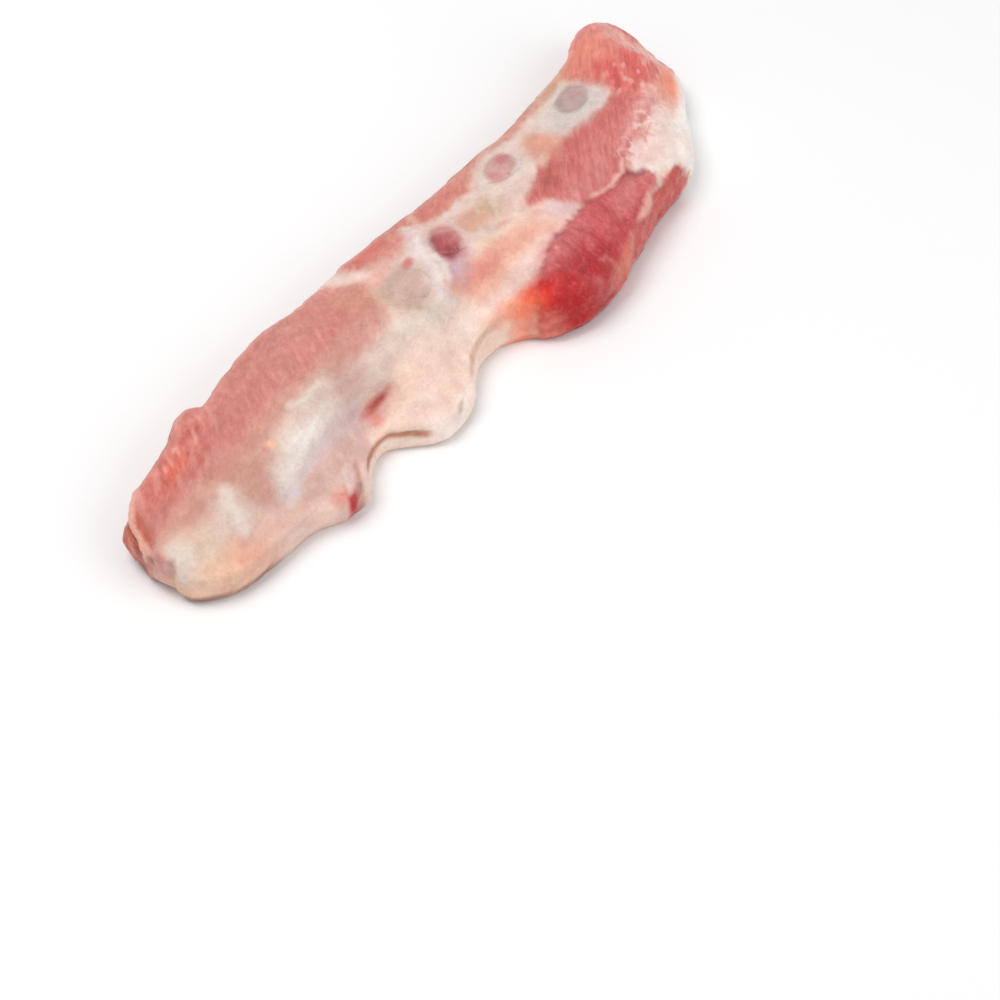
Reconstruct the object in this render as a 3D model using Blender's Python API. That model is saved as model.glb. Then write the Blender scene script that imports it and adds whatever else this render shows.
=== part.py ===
"""A raw strip of pork ribs, lying bone side up.

The strip is one body of meat, fat and membrane. Its rear long edge was sawn on a slant, so the
cut ends of the ribs show there as a row of ovals. Each rib is a flat rod that runs from its oval
across the strip, in a pocket of the meat. The front long edge thins out into flaps of fat.

Frame: +X runs along the strip, +Y across it towards the sawn edge, +Z up. The origin is the
middle of the footprint, on the surface that the strip lies on. Lengths are in metres.
"""

import math

import bmesh
import bpy
from mathutils import Matrix, Vector, noise

MM = 0.001

# Driving dimensions
HALF_LENGTH = 130 * MM
THICKNESS = 25 * MM
RIB_CLEARANCE = 0.3 * MM

# Fineness of the strip: rings along it, and steps over and under it. Both crowd together, the
# rings towards the two ends and the steps towards the rims
RINGS = 92
TOP_STEPS = 22
UNDER_STEPS = 12
RINGS_CROWD = 0.22
STEPS_CROWD = 0.4

# Plan of the strip: (x, y) of its sawn edge and of its fat edge, in millimetres
SAWN_EDGE = (
    (-130, 8), (-126, 15), (-118, 21.5), (-107, 24.5), (-97, 26), (-87, 28.5), (-79, 27.5),
    (-67, 29.5), (-56, 30.5), (-46, 30), (-37, 28.5), (-27, 28), (-17, 28.5), (-4, 28.5),
    (18, 27), (42, 26), (62, 25.5), (82, 26.5), (94, 28), (104, 30.5), (112, 34), (119, 36.5),
    (125, 35.5), (130, 30),
)
FAT_EDGE = (
    (-130, -9), (-125, -14), (-117, -18.5), (-98, -19.5), (-86, -22), (-79, -26), (-71, -25.5),
    (-63, -20), (-55, -18.5), (-49, -24), (-42, -30), (-33, -30), (-25, -27), (-17, -22),
    (-6, -20.5), (3, -24), (10, -32.5), (20, -36.5), (32, -37), (46, -35), (62, -32), (80, -30.5),
    (92, -27.5), (101, -21), (109, -14), (117, -9), (123, -3), (127, 5), (130, 15),
)

# Heights of the top, as shares of THICKNESS, at four places across: (x, sawn, rear, front, fat)
ACROSS = (0.72, 0.22, -0.3, -0.76)
TOP_HEIGHTS = (
    (-130, 0.52, 0.60, 0.56, 0.42),
    (-105, 0.76, 0.86, 0.76, 0.50),
    (-70, 0.88, 1.00, 0.88, 0.52),
    (-38, 0.88, 1.00, 0.92, 0.46),
    (-10, 0.86, 0.98, 0.98, 0.66),
    (20, 0.80, 0.92, 0.92, 0.72),
    (52, 0.76, 0.88, 0.86, 0.70),
    (86, 0.74, 0.84, 0.82, 0.64),
    (108, 0.74, 0.80, 0.74, 0.54),
    (130, 0.60, 0.64, 0.60, 0.46),
)

# Heights of the widest line of each side wall, in millimetres: (x, sawn side, fat side)
WALL_HEIGHTS = ((-130, 6, 5), (-80, 8, 4.5), (-38, 8.5, 3), (-5, 8, 3.5), (25, 7, 6), (80, 7, 6),
                (130, 6.5, 5.5))

# How square the sides, the underside's rim and the two cut ends are, as powers of a superellipse
SAWN_POWER = 4.2
FAT_POWER = 2.8
UNDER_POWER = 6
END_POWER = 9

# Swellings and hollows of the top: x, y, half length, half width, turn in degrees, height in
# millimetres
SWELLINGS = (
    (43, -24, 38, 10, 4, 2.6),
    (10, -29, 12, 7, -25, 1.6),
    (110, 18, 16, 14, 70, 2.0),
    (-94, 22, 20, 6, 8, 1.2),
    (-62, 12, 34, 12, 0, 1.2),
    (-37, 1, 30, 5, 4, 0.9),
    (-36, -21, 12, 7, 0, 1.5),
    (-17, -8, 13, 8, 0, 2.6),
    (5, -6, 10, 7, 0, 1.2),
    (-77, -20, 9, 5, 0, 1.8),
    (-50, -11, 9, 4, 15, -1.3),
    (-74, -14, 8, 4, -25, -1.2),
    (70, 3, 30, 4, 4, 1.0),
    (60, -10, 30, 3.5, -4, -1.2),
    (86, -18, 14, 5, -35, 1.2),
    (-122, -2, 6, 12, 0, 1.0),
)

# Lobes that push the side walls out, low down: x, y, z, radius and push in millimetres
LOBES = (
    (-121, 17, 6, 9, 2.6),
    (-127, -1, 3, 8, -1.4),
    (30, -36, 5, 10, 1.2),
)
LENGTH_TO_WIDTH = 4

# Ribs: name, x and y of the middle of the sawn oval, half width and half thickness of the rod,
# length, how far the rod heads along the strip as it crosses it, and how deep it goes
RIBS = (
    ("rib_1", 82.5, 13, 6.6, 4.4, 32, -8, 10),
    ("rib_2", 42, 12, 7.0, 4.4, 34, -9, 11),
    ("rib_3", 4.5, 3.5, 5.8, 5.4, 16, -4, 15),
    ("rib_4", -17.5, 1, 6.2, 4.4, 10, -2, 18),
)
RIB_SIDES = 24
RIB_RINGS = 9

# A rib dips this steeply at its oval, thins towards its far end, and rounds off over the last
# stretch of it to a blunt end. It is made too long at the oval, by the length to be sawn off
RIB_SLOPE = 2
RIB_TAPER = 0.18
RIB_ROUND_FROM = 0.8
RIB_ROUNDING = 0.75
RIB_SAWN_OFF = 5 * MM
SAW_CUT_REACH = 4 * MM

# Unevenness of the skin and of the plan's edges
ROUGH_SIZE = 11 * MM
ROUGH_HEIGHT = 0.7 * MM
EDGE_SIZE = 13 * MM
EDGE_WANDER = 0.9 * MM

# Underside: hollows between the places where it lies flat
UNDER_SIZE = 30 * MM
UNDER_HOLLOW = 2.2 * MM
UNDER_FLAT = 0.35 * MM

# Height at which the two blunt ends close
END_HEIGHT = 7.5 * MM

MEAT = ("meat", (0.62, 0.20, 0.17), 0.42)
BONE = ("bone", (0.72, 0.60, 0.54), 0.5)


def clear_scene():
    for obj in list(bpy.data.objects):
        bpy.data.objects.remove(obj)


def curve_through(rows, x, column=1):
    """The value at x of a smooth curve through the rows' (first, column) pairs."""
    if x <= rows[0][0]:
        return rows[0][column]
    if x >= rows[-1][0]:
        return rows[-1][column]
    last = len(rows) - 1
    i = max(k for k in range(last) if rows[k][0] <= x)

    def slope(k):
        low, high = rows[max(k - 1, 0)], rows[min(k + 1, last)]
        return (high[column] - low[column]) / (high[0] - low[0])

    span = rows[i + 1][0] - rows[i][0]
    t = (x - rows[i][0]) / span
    start, end = rows[i][column], rows[i + 1][column]
    lift = 3 * t * t - 2 * t * t * t
    lead = t - 2 * t * t + t * t * t
    trail = t * t * t - t * t
    return start + (end - start) * lift + span * (slope(i) * lead + slope(i + 1) * trail)


def wander(x, size, seed):
    """A smooth random value from -1 to 1 that depends on x alone."""
    return noise.noise(Vector((x / size, seed, 0.5 * seed)))


def edges(x):
    """y of the fat edge and of the sawn edge at x."""
    fat = curve_through(FAT_EDGE, x / MM) * MM + EDGE_WANDER * wander(x, EDGE_SIZE, 3.1)
    sawn = curve_through(SAWN_EDGE, x / MM) * MM + EDGE_WANDER * wander(x, EDGE_SIZE, 7.7)
    return fat, sawn


def swelling(x, y):
    """Height of all the swellings and hollows at a place in plan."""
    total = 0.0
    for sx, sy, length, width, turn, height in SWELLINGS:
        angle = math.radians(turn)
        dx, dy = x - sx * MM, y - sy * MM
        u = (dx * math.cos(angle) + dy * math.sin(angle)) / (length * MM)
        v = (dy * math.cos(angle) - dx * math.sin(angle)) / (width * MM)
        total += height * MM * math.exp(-u * u - v * v)
    return total


def dome(share, power):
    """Height of a superellipse at a share of its half width."""
    return max(0.0, 1 - min(1.0, abs(share)) ** power) ** (1 / power)


def top_height(x, y):
    """Height of the top at a place in plan, away from the cut ends."""
    fat, sawn = edges(x)
    share = max(-1.0, min(1.0, (2 * y - fat - sawn) / (sawn - fat)))
    places = sorted(
        (place, curve_through(TOP_HEIGHTS, x / MM, 1 + n) * THICKNESS)
        for n, place in enumerate(ACROSS)
    )
    crest = curve_through(places, share)
    side = (share + 1) / 2
    wall_sawn = curve_through(WALL_HEIGHTS, x / MM, 1) * MM
    wall_fat = curve_through(WALL_HEIGHTS, x / MM, 2) * MM
    wall = wall_fat + (wall_sawn - wall_fat) * side
    rough = ROUGH_HEIGHT * noise.noise(Vector((x, y, 0)) / ROUGH_SIZE)
    power = SAWN_POWER if share > 0 else FAT_POWER
    return wall + (crest + swelling(x, y) + rough - wall) * dome(share, power)


def under_height(x, y):
    """Height of the underside: flat where it rests, hollow in patches, rising at its rim."""
    fat, sawn = edges(x)
    share = max(-1.0, min(1.0, (2 * y - fat - sawn) / (sawn - fat)))
    wall_sawn = curve_through(WALL_HEIGHTS, x / MM, 1) * MM
    wall_fat = curve_through(WALL_HEIGHTS, x / MM, 2) * MM
    wall = wall_fat + (wall_sawn - wall_fat) * (share + 1) / 2
    hollow = max(0.0, noise.noise(Vector((x, y, 0.4)) / UNDER_SIZE)) * UNDER_HOLLOW
    return max(hollow * dome(share, 2), wall * (1 - dome(share, UNDER_POWER)))


def strip_point(ring, step):
    """Place of one vertex: ring counts along the strip, step round its section."""
    along = 1 - 2 * ring / RINGS
    along *= 1 + RINGS_CROWD * (1 - along * along)
    x = HALF_LENGTH * along
    if step < TOP_STEPS:
        across = 1 - 2 * step / TOP_STEPS
    else:
        across = 2 * (step - TOP_STEPS) / UNDER_STEPS - 1
    share = across * (1 + STEPS_CROWD * (1 - across * across))
    fat, sawn = edges(x)
    y = (fat + sawn) / 2 + (sawn - fat) / 2 * share
    z = top_height(x, y) if step < TOP_STEPS else under_height(x, y)
    closing = dome(along, END_POWER)
    middle_y = (fat + sawn) / 2
    y = middle_y + (y - middle_y) * closing
    z = END_HEIGHT + (z - END_HEIGHT) * closing
    if step >= TOP_STEPS:
        z = max(0.0, z - UNDER_FLAT)
    return pushed_out(Vector((x, y, z)))


def pushed_out(point):
    """The point, moved outwards by the lobes near it."""
    outwards = Vector((point.x, point.y * LENGTH_TO_WIDTH, 0)).normalized()
    push = 0.0
    for x, y, z, radius, height in LOBES:
        gap = (point - Vector((x, y, z)) * MM).length / (radius * MM)
        push += height * MM * math.exp(-gap * gap)
    return point + outwards * push


def material(spec):
    name, colour, roughness = spec
    made = bpy.data.materials.new(name)
    made.use_nodes = True
    shader = made.node_tree.nodes["Principled BSDF"]
    shader.inputs["Base Color"].default_value = (*colour, 1)
    shader.inputs["Roughness"].default_value = roughness
    shader.inputs["Metallic"].default_value = 0
    return made


def object_of(name, bm, collection, finish=None):
    mesh = bpy.data.meshes.new(name)
    bm.to_mesh(mesh)
    bm.free()
    mesh.shade_smooth()
    obj = bpy.data.objects.new(name, mesh)
    collection.objects.link(obj)
    if finish:
        mesh.materials.append(finish)
    return obj


def strip_body(collection, finish):
    """The body of meat: a sphere whose parallels become the strip's cross-sections."""
    steps = TOP_STEPS + UNDER_STEPS
    bm = bmesh.new()
    bmesh.ops.create_uvsphere(bm, u_segments=steps, v_segments=RINGS, radius=1)
    for vertex in bm.verts:
        ring = round(math.acos(max(-1, min(1, vertex.co.z))) / math.pi * RINGS)
        turn = math.atan2(vertex.co.y, vertex.co.x) / math.tau
        vertex.co = strip_point(ring, round(turn * steps) % steps)
    return object_of("meat_strip", bm, collection, finish)


def surface_normal(x, y):
    reach = SAW_CUT_REACH
    slope_x = (top_height(x + reach, y) - top_height(x - reach, y)) / (2 * reach)
    slope_y = (top_height(x, y + reach) - top_height(x, y - reach)) / (2 * reach)
    return Vector((-slope_x, -slope_y, 1)).normalized()


def rib_rod(spec, extra):
    """A flat, slightly bent rod, from beyond the meat's surface to its blunt end inside."""
    _, x, y, half_width, half_thickness, length, heading, depth = spec
    mouth = Vector((x * MM, y * MM, top_height(x * MM, y * MM)))
    across = Vector((heading, -length, 0)).normalized()
    sideways = Vector((-across.y, across.x, 0))
    run = length * MM
    bm = bmesh.new()
    bmesh.ops.create_cone(bm, cap_ends=True, segments=RIB_SIDES, radius1=1, radius2=1, depth=2)
    uprights = [e for e in bm.edges if abs(e.verts[0].co.z - e.verts[1].co.z) > 1]
    bmesh.ops.subdivide_edges(bm, edges=uprights, cuts=RIB_RINGS, use_grid_fill=False)
    for vertex in bm.verts:
        share = (vertex.co.z + 1) / 2
        reach = -RIB_SAWN_OFF + (run + RIB_SAWN_OFF + extra) * share
        rounding = max(0.0, (share - RIB_ROUND_FROM) / (1 - RIB_ROUND_FROM))
        size = (1 - RIB_TAPER * share) * math.sqrt(1 - RIB_ROUNDING * rounding * rounding)
        wide = half_width * MM * size + extra
        thick = half_thickness * MM * size + extra
        levelled = math.exp(-max(0.0, reach) * RIB_SLOPE / (depth * MM))
        dip = depth * MM * (1 - levelled) + RIB_SLOPE * min(0.0, reach)
        lean = math.atan(RIB_SLOPE * levelled)
        upright = across * math.sin(lean) + Vector((0, 0, math.cos(lean)))
        axis_point = mouth + across * reach - Vector((0, 0, dip))
        vertex.co = axis_point + sideways * (vertex.co.x * wide) + upright * (vertex.co.y * thick)
    return bm, mouth


def rib(spec, collection, finish):
    """A rib, sawn off flush with the meat round it."""
    bm, mouth = rib_rod(spec, 0)
    normal = surface_normal(mouth.x, mouth.y)
    parts = bm.verts[:] + bm.edges[:] + bm.faces[:]
    cut = bmesh.ops.bisect_plane(bm, geom=parts, plane_co=mouth, plane_no=normal, clear_outer=True)
    rim = [e for e in cut["geom_cut"] if isinstance(e, bmesh.types.BMEdge)]
    bmesh.ops.holes_fill(bm, edges=rim)
    return object_of(spec[0], bm, collection, finish)


def rib_pocket(spec, collection):
    """The space that a rib takes up in the meat."""
    bm, _ = rib_rod(spec, RIB_CLEARANCE)
    pocket = object_of(spec[0] + "_pocket", bm, collection)
    pocket.hide_render = True
    pocket.display_type = "WIRE"
    return pocket


def cut_pocket(meat, pocket):
    cut = meat.modifiers.new(pocket.name, "BOOLEAN")
    cut.operation = "DIFFERENCE"
    cut.solver = "EXACT"
    cut.object = pocket


def centre_on_base(objects, measured):
    """Moves everything so that the origin is the middle of the footprint, at its lowest level."""
    corners = [v.co for v in measured.data.vertices]
    middle = [(min(c[k] for c in corners) + max(c[k] for c in corners)) / 2 for k in range(2)]
    shift = Matrix.Translation((-middle[0], -middle[1], -min(c.z for c in corners)))
    for obj in objects:
        obj.data.transform(shift)


def main():
    clear_scene()
    parts = bpy.data.collections.new("rack_of_ribs")
    cutters = bpy.data.collections.new("pockets")
    bpy.context.scene.collection.children.link(parts)
    bpy.context.scene.collection.children.link(cutters)
    bone = material(BONE)
    meat = strip_body(parts, material(MEAT))
    ribs = [rib(spec, parts, bone) for spec in RIBS]
    pockets = [rib_pocket(spec, cutters) for spec in RIBS]
    centre_on_base([meat, *ribs, *pockets], meat)
    for pocket in pockets:
        cut_pocket(meat, pocket)


main()
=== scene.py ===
"""A raw strip of pork rib tips, lying bone side up on a pale table."""

import math

import bmesh
import bpy
import numpy as np
from mathutils import Matrix, Vector
from mathutils.bvhtree import BVHTree


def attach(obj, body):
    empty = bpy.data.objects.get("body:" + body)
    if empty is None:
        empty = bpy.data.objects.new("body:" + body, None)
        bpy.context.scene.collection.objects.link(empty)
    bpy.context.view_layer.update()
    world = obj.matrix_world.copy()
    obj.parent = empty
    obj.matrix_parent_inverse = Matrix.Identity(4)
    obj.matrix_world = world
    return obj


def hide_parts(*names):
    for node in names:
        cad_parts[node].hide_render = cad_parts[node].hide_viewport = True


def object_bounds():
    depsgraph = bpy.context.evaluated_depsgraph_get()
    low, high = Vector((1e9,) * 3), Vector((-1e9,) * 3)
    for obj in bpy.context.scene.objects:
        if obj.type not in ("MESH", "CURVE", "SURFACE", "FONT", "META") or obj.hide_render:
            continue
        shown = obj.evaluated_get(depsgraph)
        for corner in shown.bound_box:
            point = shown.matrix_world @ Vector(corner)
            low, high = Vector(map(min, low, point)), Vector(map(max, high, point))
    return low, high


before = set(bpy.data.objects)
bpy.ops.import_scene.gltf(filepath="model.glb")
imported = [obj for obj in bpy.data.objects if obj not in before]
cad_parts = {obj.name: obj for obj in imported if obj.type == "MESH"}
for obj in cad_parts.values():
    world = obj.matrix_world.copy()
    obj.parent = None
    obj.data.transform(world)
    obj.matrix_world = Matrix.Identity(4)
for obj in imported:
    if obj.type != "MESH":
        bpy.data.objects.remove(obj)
cad_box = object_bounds()
MM = 0.001

# The camera looks down on the strip at 50 degrees, past its near left end. The strip runs away
# from it towards the upper right of the picture.
VIEW_TURN = math.radians(54.708)
VIEW_HEIGHT = math.radians(50)
VIEW_AIM = Vector((-50.455, -52.082, 0)) * MM
VIEW_DISTANCE = 655.9 * MM

right = Vector((math.cos(VIEW_TURN), -math.sin(VIEW_TURN), 0))
forward = Vector((math.sin(VIEW_TURN), math.cos(VIEW_TURN), 0))
back = -forward * math.cos(VIEW_HEIGHT) + Vector((0, 0, math.sin(VIEW_HEIGHT)))
camera = bpy.data.objects.new("camera", bpy.data.cameras.new("camera"))
camera.data.lens = 85
camera.data.sensor_width = 36
camera.data.clip_start = 0.01
axes = Matrix((right, back.cross(right), back)).transposed().to_4x4()
camera.matrix_world = Matrix.Translation(VIEW_AIM + back * VIEW_DISTANCE) @ axes
bpy.context.scene.collection.objects.link(camera)
bpy.context.scene.camera = camera

# The studio: a big soft light above the strip, a little behind it, a wide one in front, and
# white walls all round. The table is plain and nearly white.
KEY_FROM = Vector((-0.22, 0.34, 0.96))
KEY_SIZE = 0.7
KEY_POWER = 5.5
FILL_FROM = Vector((0.2, -0.85, 0.6))
FILL_SIZE = 0.9
FILL_POWER = 2.9
WALLS = 0.54
TABLE = (0.94, 0.94, 0.94, 1)


def soft_light(name, place, size, power):
    lamp = bpy.data.lights.new(name, "AREA")
    lamp.shape = "DISK"
    lamp.size = size
    lamp.energy = power
    light = bpy.data.objects.new(name, lamp)
    turn = place.to_track_quat("Z", "Y").to_matrix().to_4x4()
    light.matrix_world = Matrix.Translation(place) @ turn
    bpy.context.scene.collection.objects.link(light)


soft_light("key_light", KEY_FROM, KEY_SIZE, KEY_POWER)
soft_light("fill_light", FILL_FROM, FILL_SIZE, FILL_POWER)
walls = bpy.data.worlds.new("white_walls")
walls.use_nodes = True
walls.node_tree.nodes["Background"].inputs["Color"].default_value = (1, 1, 1, 1)
walls.node_tree.nodes["Background"].inputs["Strength"].default_value = WALLS
bpy.context.scene.world = walls
bpy.context.scene.view_settings.view_transform = "Standard"

bm = bmesh.new()
bmesh.ops.create_grid(bm, x_segments=1, y_segments=1, size=4)
table_mesh = bpy.data.meshes.new("table")
bm.to_mesh(table_mesh)
bm.free()
table = bpy.data.objects.new("table", table_mesh)
bpy.context.scene.collection.objects.link(table)
table_finish = bpy.data.materials.new("table")
table_finish.use_nodes = True
table_shader = table_finish.node_tree.nodes["Principled BSDF"]
table_shader.inputs["Base Color"].default_value = TABLE
table_shader.inputs["Roughness"].default_value = 0.6
table_shader.inputs["Specular IOR Level"].default_value = 0.2
table_mesh.materials.append(table_finish)


# The strip itself: muscle, fat and membrane grown into one slab. It is the solid's own shape with
# a finer skin, sculpted and coloured region by region.
FINE = 0.73 * MM
SMOOTHING = 4
POCKET_FILL = 0.45 * MM


def fine_copy(nodes, name, fine_to, smoothing, swell=0.0):
    """A closed, evenly fine mesh in the shape of the solids, all but the first one swollen."""
    bm = bmesh.new()
    for place, node in enumerate(nodes):
        part = bmesh.new()
        part.from_mesh(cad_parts[node].data)
        bmesh.ops.remove_doubles(part, verts=part.verts, dist=1e-5)
        part.normal_update()
        if place:
            for vertex in part.verts:
                vertex.co += vertex.normal * swell
        joined = bpy.data.meshes.new(node)
        part.to_mesh(joined)
        part.free()
        bm.from_mesh(joined)
        bpy.data.meshes.remove(joined)
    mesh = bpy.data.meshes.new(name)
    bm.to_mesh(mesh)
    bm.free()
    rough = bpy.data.objects.new(name, mesh)
    bpy.context.scene.collection.objects.link(rough)
    fine = rough.modifiers.new("fine", "REMESH")
    fine.mode = "VOXEL"
    fine.voxel_size = fine_to
    smooth = rough.modifiers.new("smooth", "SMOOTH")
    smooth.factor = 0.5
    smooth.iterations = smoothing
    ready = rough.evaluated_get(bpy.context.evaluated_depsgraph_get())
    made = bpy.data.meshes.new_from_object(ready)
    bpy.data.objects.remove(rough)
    made.materials.clear()
    return made


def smooth_step(low, high, value):
    share = np.clip((value - low) / (high - low), 0, 1)
    return share * share * (3 - 2 * share)


def lumps(place, size, seed):
    """Smooth random bumps from -1 to 1 about as wide as size, at places in millimetres."""
    total = 0
    for turn in (0.6, 2.1):
        x, y, z = place.T / size
        across = y * math.cos(turn) - x * math.sin(turn) + 0.3 * z
        cell = np.stack([x * math.cos(turn) + y * math.sin(turn), across, z], 1) + seed * 7.31 + turn
        low = np.floor(cell)
        t = cell - low
        t = t * t * t * (t * (6 * t - 15) + 10)
        for corner in np.ndindex(2, 2, 2):
            spot = (low + corner) @ (127.1, 311.7, 74.7)
            weight = np.prod(np.where(corner, t, 1 - t), axis=1)
            total = total + weight * (np.sin(spot) * 43758.5453 % 1)
    return 1.35 * (total - 1)


def colour(red, green, blue):
    """A colour as seen, from 0 to 255, as light."""
    seen = np.array((red, green, blue)) / 255
    return ((seen + 0.055) / 1.055) ** 2.4


class Skin:
    """The surface of one piece while it is sculpted and coloured, in millimetres.

    For each point, tint is its colour, raw how much of it is muscle with fibres in it, wet how
    moist it is, grain the way its fibres run, and rise how far it is moved out. The x and y are
    its place with a ragged shift, so that no border in plan runs smoothly.
    """

    def __init__(self, mesh):
        self.mesh = mesh
        count = len(mesh.vertices)
        flat = np.zeros(count * 3)
        mesh.vertices.foreach_get("co", flat)
        self.at = flat.reshape(-1, 3) / MM
        flat = np.zeros(count * 3)
        mesh.vertex_normals.foreach_get("vector", flat)
        self.normal = flat.reshape(-1, 3)
        self.tint = np.ones((count, 3))
        self.raw = np.zeros(count)
        self.wet = np.full(count, 0.3)
        self.grain = np.full(count, 0.6)
        self.rise = np.zeros(count)
        self.x = self.at[:, 0] + self.ragged_shift(1)
        self.y = self.at[:, 1] + self.ragged_shift(2)
        up = self.normal[:, 2]
        front = smooth_step(2, -6, self.at[:, 1])
        ragged = up + 0.22 * lumps(self.at, 10, 45) + 0.14 * lumps(self.at, 3, 46)
        self.top = np.maximum(smooth_step(0.02, 0.2, ragged), front * smooth_step(-0.8, -0.5, up))
        self.top = np.maximum(self.top, smooth_step(0.3, 0.5, up))

    def ragged_shift(self, seed):
        wide = 1.1 * lumps(self.at, 9, seed) + 0.6 * lumps(self.at, 3.6, seed + 3)
        return wide + 0.35 * lumps(self.at, 1.7, seed + 5)

    def strands(self, angle, long, wide, seed):
        """Random bumps, long and narrow, that run along an angle in plan."""
        x, y, z = self.at.T
        along = x * math.cos(angle) + y * math.sin(angle)
        across = y * math.cos(angle) - x * math.sin(angle)
        return lumps(np.stack([along / long, across / wide, z / wide], 1), 1, seed)

    def patch(self, x, y, half_length, half_width, turn=0, soft=0.35, ragged=0.7):
        """How far each point is inside an oval patch in plan, from 0 to 1."""
        a = math.radians(turn)
        dx = self.at[:, 0] + ragged * (self.x - self.at[:, 0]) - x
        dy = self.at[:, 1] + ragged * (self.y - self.at[:, 1]) - y
        u = (dx * math.cos(a) + dy * math.sin(a)) / half_length
        v = (dy * math.cos(a) - dx * math.sin(a)) / half_width
        return 1 - smooth_step(1 - soft, 1 + soft, np.hypot(u, v))

    def gap(self, points, closed=False):
        """The distance in plan from each point to a curve."""
        x, y = self.x, self.y
        near = np.full(len(x), 1e9)
        ends = points[1:] + points[:1] if closed else points[1:]
        for (ax, ay), (bx, by) in zip(points, ends):
            dx, dy = bx - ax, by - ay
            share = np.clip(((x - ax) * dx + (y - ay) * dy) / (dx * dx + dy * dy), 0, 1)
            near = np.minimum(near, np.hypot(x - ax - share * dx, y - ay - share * dy))
        return near

    def along(self, points, half_width, soft=0.6):
        """How close each point is to a curve in plan, from 0 to 1."""
        return 1 - smooth_step(half_width * (1 - soft), half_width * (1 + soft), self.gap(points))

    def inside(self, points, soft=2.0, feather=0.0, angle=0.6):
        """How far each point is inside an outline in plan, from 0 to 1, soft over so many mm.

        A feathered outline runs out in streaks along the fibres.
        """
        odd = np.zeros(len(self.x), bool)
        for (ax, ay), (bx, by) in zip(points, points[1:] + points[:1]):
            if ay != by:
                crosses = (ay > self.y) != (by > self.y)
                odd ^= crosses & (self.x < ax + (self.y - ay) * (bx - ax) / (by - ay))
        near = self.gap(points, True)
        depth = np.where(odd, near, -near)
        if feather:
            depth = depth + feather * self.strands(angle, 7, 1.2, 17)
        return smooth_step(-soft / 2, soft / 2, depth)

    def paint(self, mask, tint, raw=None, wet=None, grain=None, rise=0.0):
        """Lays a tissue over what is there, as strongly as the mask says."""
        self.tint += mask[:, None] * (colour(*tint) - self.tint)
        for name, value in (("raw", raw), ("wet", wet), ("grain", grain)):
            if value is not None:
                kept = getattr(self, name)
                kept += mask * (value - kept)
        self.rise += mask * rise

    def dab(self, x, y, half_length, half_width, turn, soft, strength, tint, ragged=0.7, **tissue):
        """Lays an oval patch of a tissue on the upper side."""
        oval = self.patch(x, y, half_length, half_width, turn, soft, ragged)
        self.paint(self.top * oval * strength, tint, **tissue)

    def streak(self, points, half_width, soft, strength, tint, **tissue):
        """Lays a band of a tissue along a curve on the upper side."""
        self.paint(self.top * self.along(points, half_width, soft) * strength, tint, **tissue)

    def finish(self, lowest, highest):
        """Moves the skin out by what was sculpted, and writes its colours on the mesh."""
        moved = self.at + self.normal * self.rise[:, None]
        moved = np.clip(moved * MM, lowest, highest)
        self.mesh.vertices.foreach_set("co", moved.ravel())
        count = len(self.mesh.vertices)
        tint = self.mesh.attributes.new("tint", "FLOAT_COLOR", "POINT")
        shades = np.concatenate([np.clip(self.tint, 0, 1), np.ones((count, 1))], axis=1)
        tint.data.foreach_set("color", shades.ravel())
        for name in ("raw", "wet"):
            layer = self.mesh.attributes.new(name, "FLOAT", "POINT")
            layer.data.foreach_set("value", getattr(self, name))
        turn = self.grain
        along = self.at[:, 0] * np.cos(turn) + self.at[:, 1] * np.sin(turn)
        across = self.at[:, 1] * np.cos(turn) - self.at[:, 0] * np.sin(turn)
        fibres = self.mesh.attributes.new("fibres", "FLOAT_VECTOR", "POINT")
        fibres.data.foreach_set("vector", np.stack([along, across, self.at[:, 2]], 1).ravel())
        self.mesh.shade_smooth()
        self.mesh.update()


# The sides and the underside: the rear side is sawn through meat and fat, the front is the turned
# edge, and below is the meat side, dark red muscle webbed with white fat and silverskin.
SILVERSKIN = (
    ([(-122, 2), (-104, -3), (-86, 0), (-68, 7), (-48, 5), (-28, 10), (-6, 8)], 2.6),
    ([(-88, -1), (-76, -10), (-60, -16)], 1.6),
    ([(-50, 6), (-38, -4), (-26, -16), (-18, -24)], 2.2),
    ([(-30, -11), (-14, -8), (4, -12)], 1.4),
    ([(-8, 8), (8, -2), (22, -14), (30, -27)], 2.0),
    ([(6, 0), (26, 4), (48, 2), (66, 8)], 1.5),
    ([(34, 3), (46, -8), (60, -22)], 1.8),
    ([(64, 8), (76, -2), (92, -10)], 2.2),
    ([(70, 10), (88, 14), (106, 12), (120, 18)], 1.6),
    ([(-112, -1), (-106, 8), (-96, 15)], 1.2),
)


def web(place, size, seed, thin=0.14):
    """Thin curving lines, as of silverskin or marbling, from 0 to 1."""
    bumps = lumps(place, size, seed) + 0.3 * lumps(place, size / 3, seed + 1)
    return 1 - smooth_step(thin * 0.2, thin, np.abs(bumps))


def sides(s):
    side = 1 - s.top
    s.paint(side, (198, 102, 88), raw=0.8, wet=0.45, grain=0.1)
    s.paint(side * smooth_step(-0.1, 0.5, lumps(s.at, 11, 22)) * 0.7, (214, 122, 102), raw=0.6)
    fat = lumps(s.at * (0.45, 0.45, 1.3), 5, 21) + 0.4 * lumps(s.at, 3, 23)
    s.paint(side * smooth_step(0.25, 0.6, fat) * 0.75, (232, 188, 170), raw=0.1, rise=0.3)
    s.paint(side * web(s.at * (0.6, 0.6, 1), 9, 24) * 0.5, (236, 200, 186), raw=0.1)
    dark = smooth_step(0.3, 0.7, lumps(s.at, 8, 25))
    s.paint(side * dark * 0.6, (168, 62, 60), raw=0.9, wet=0.6)


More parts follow.
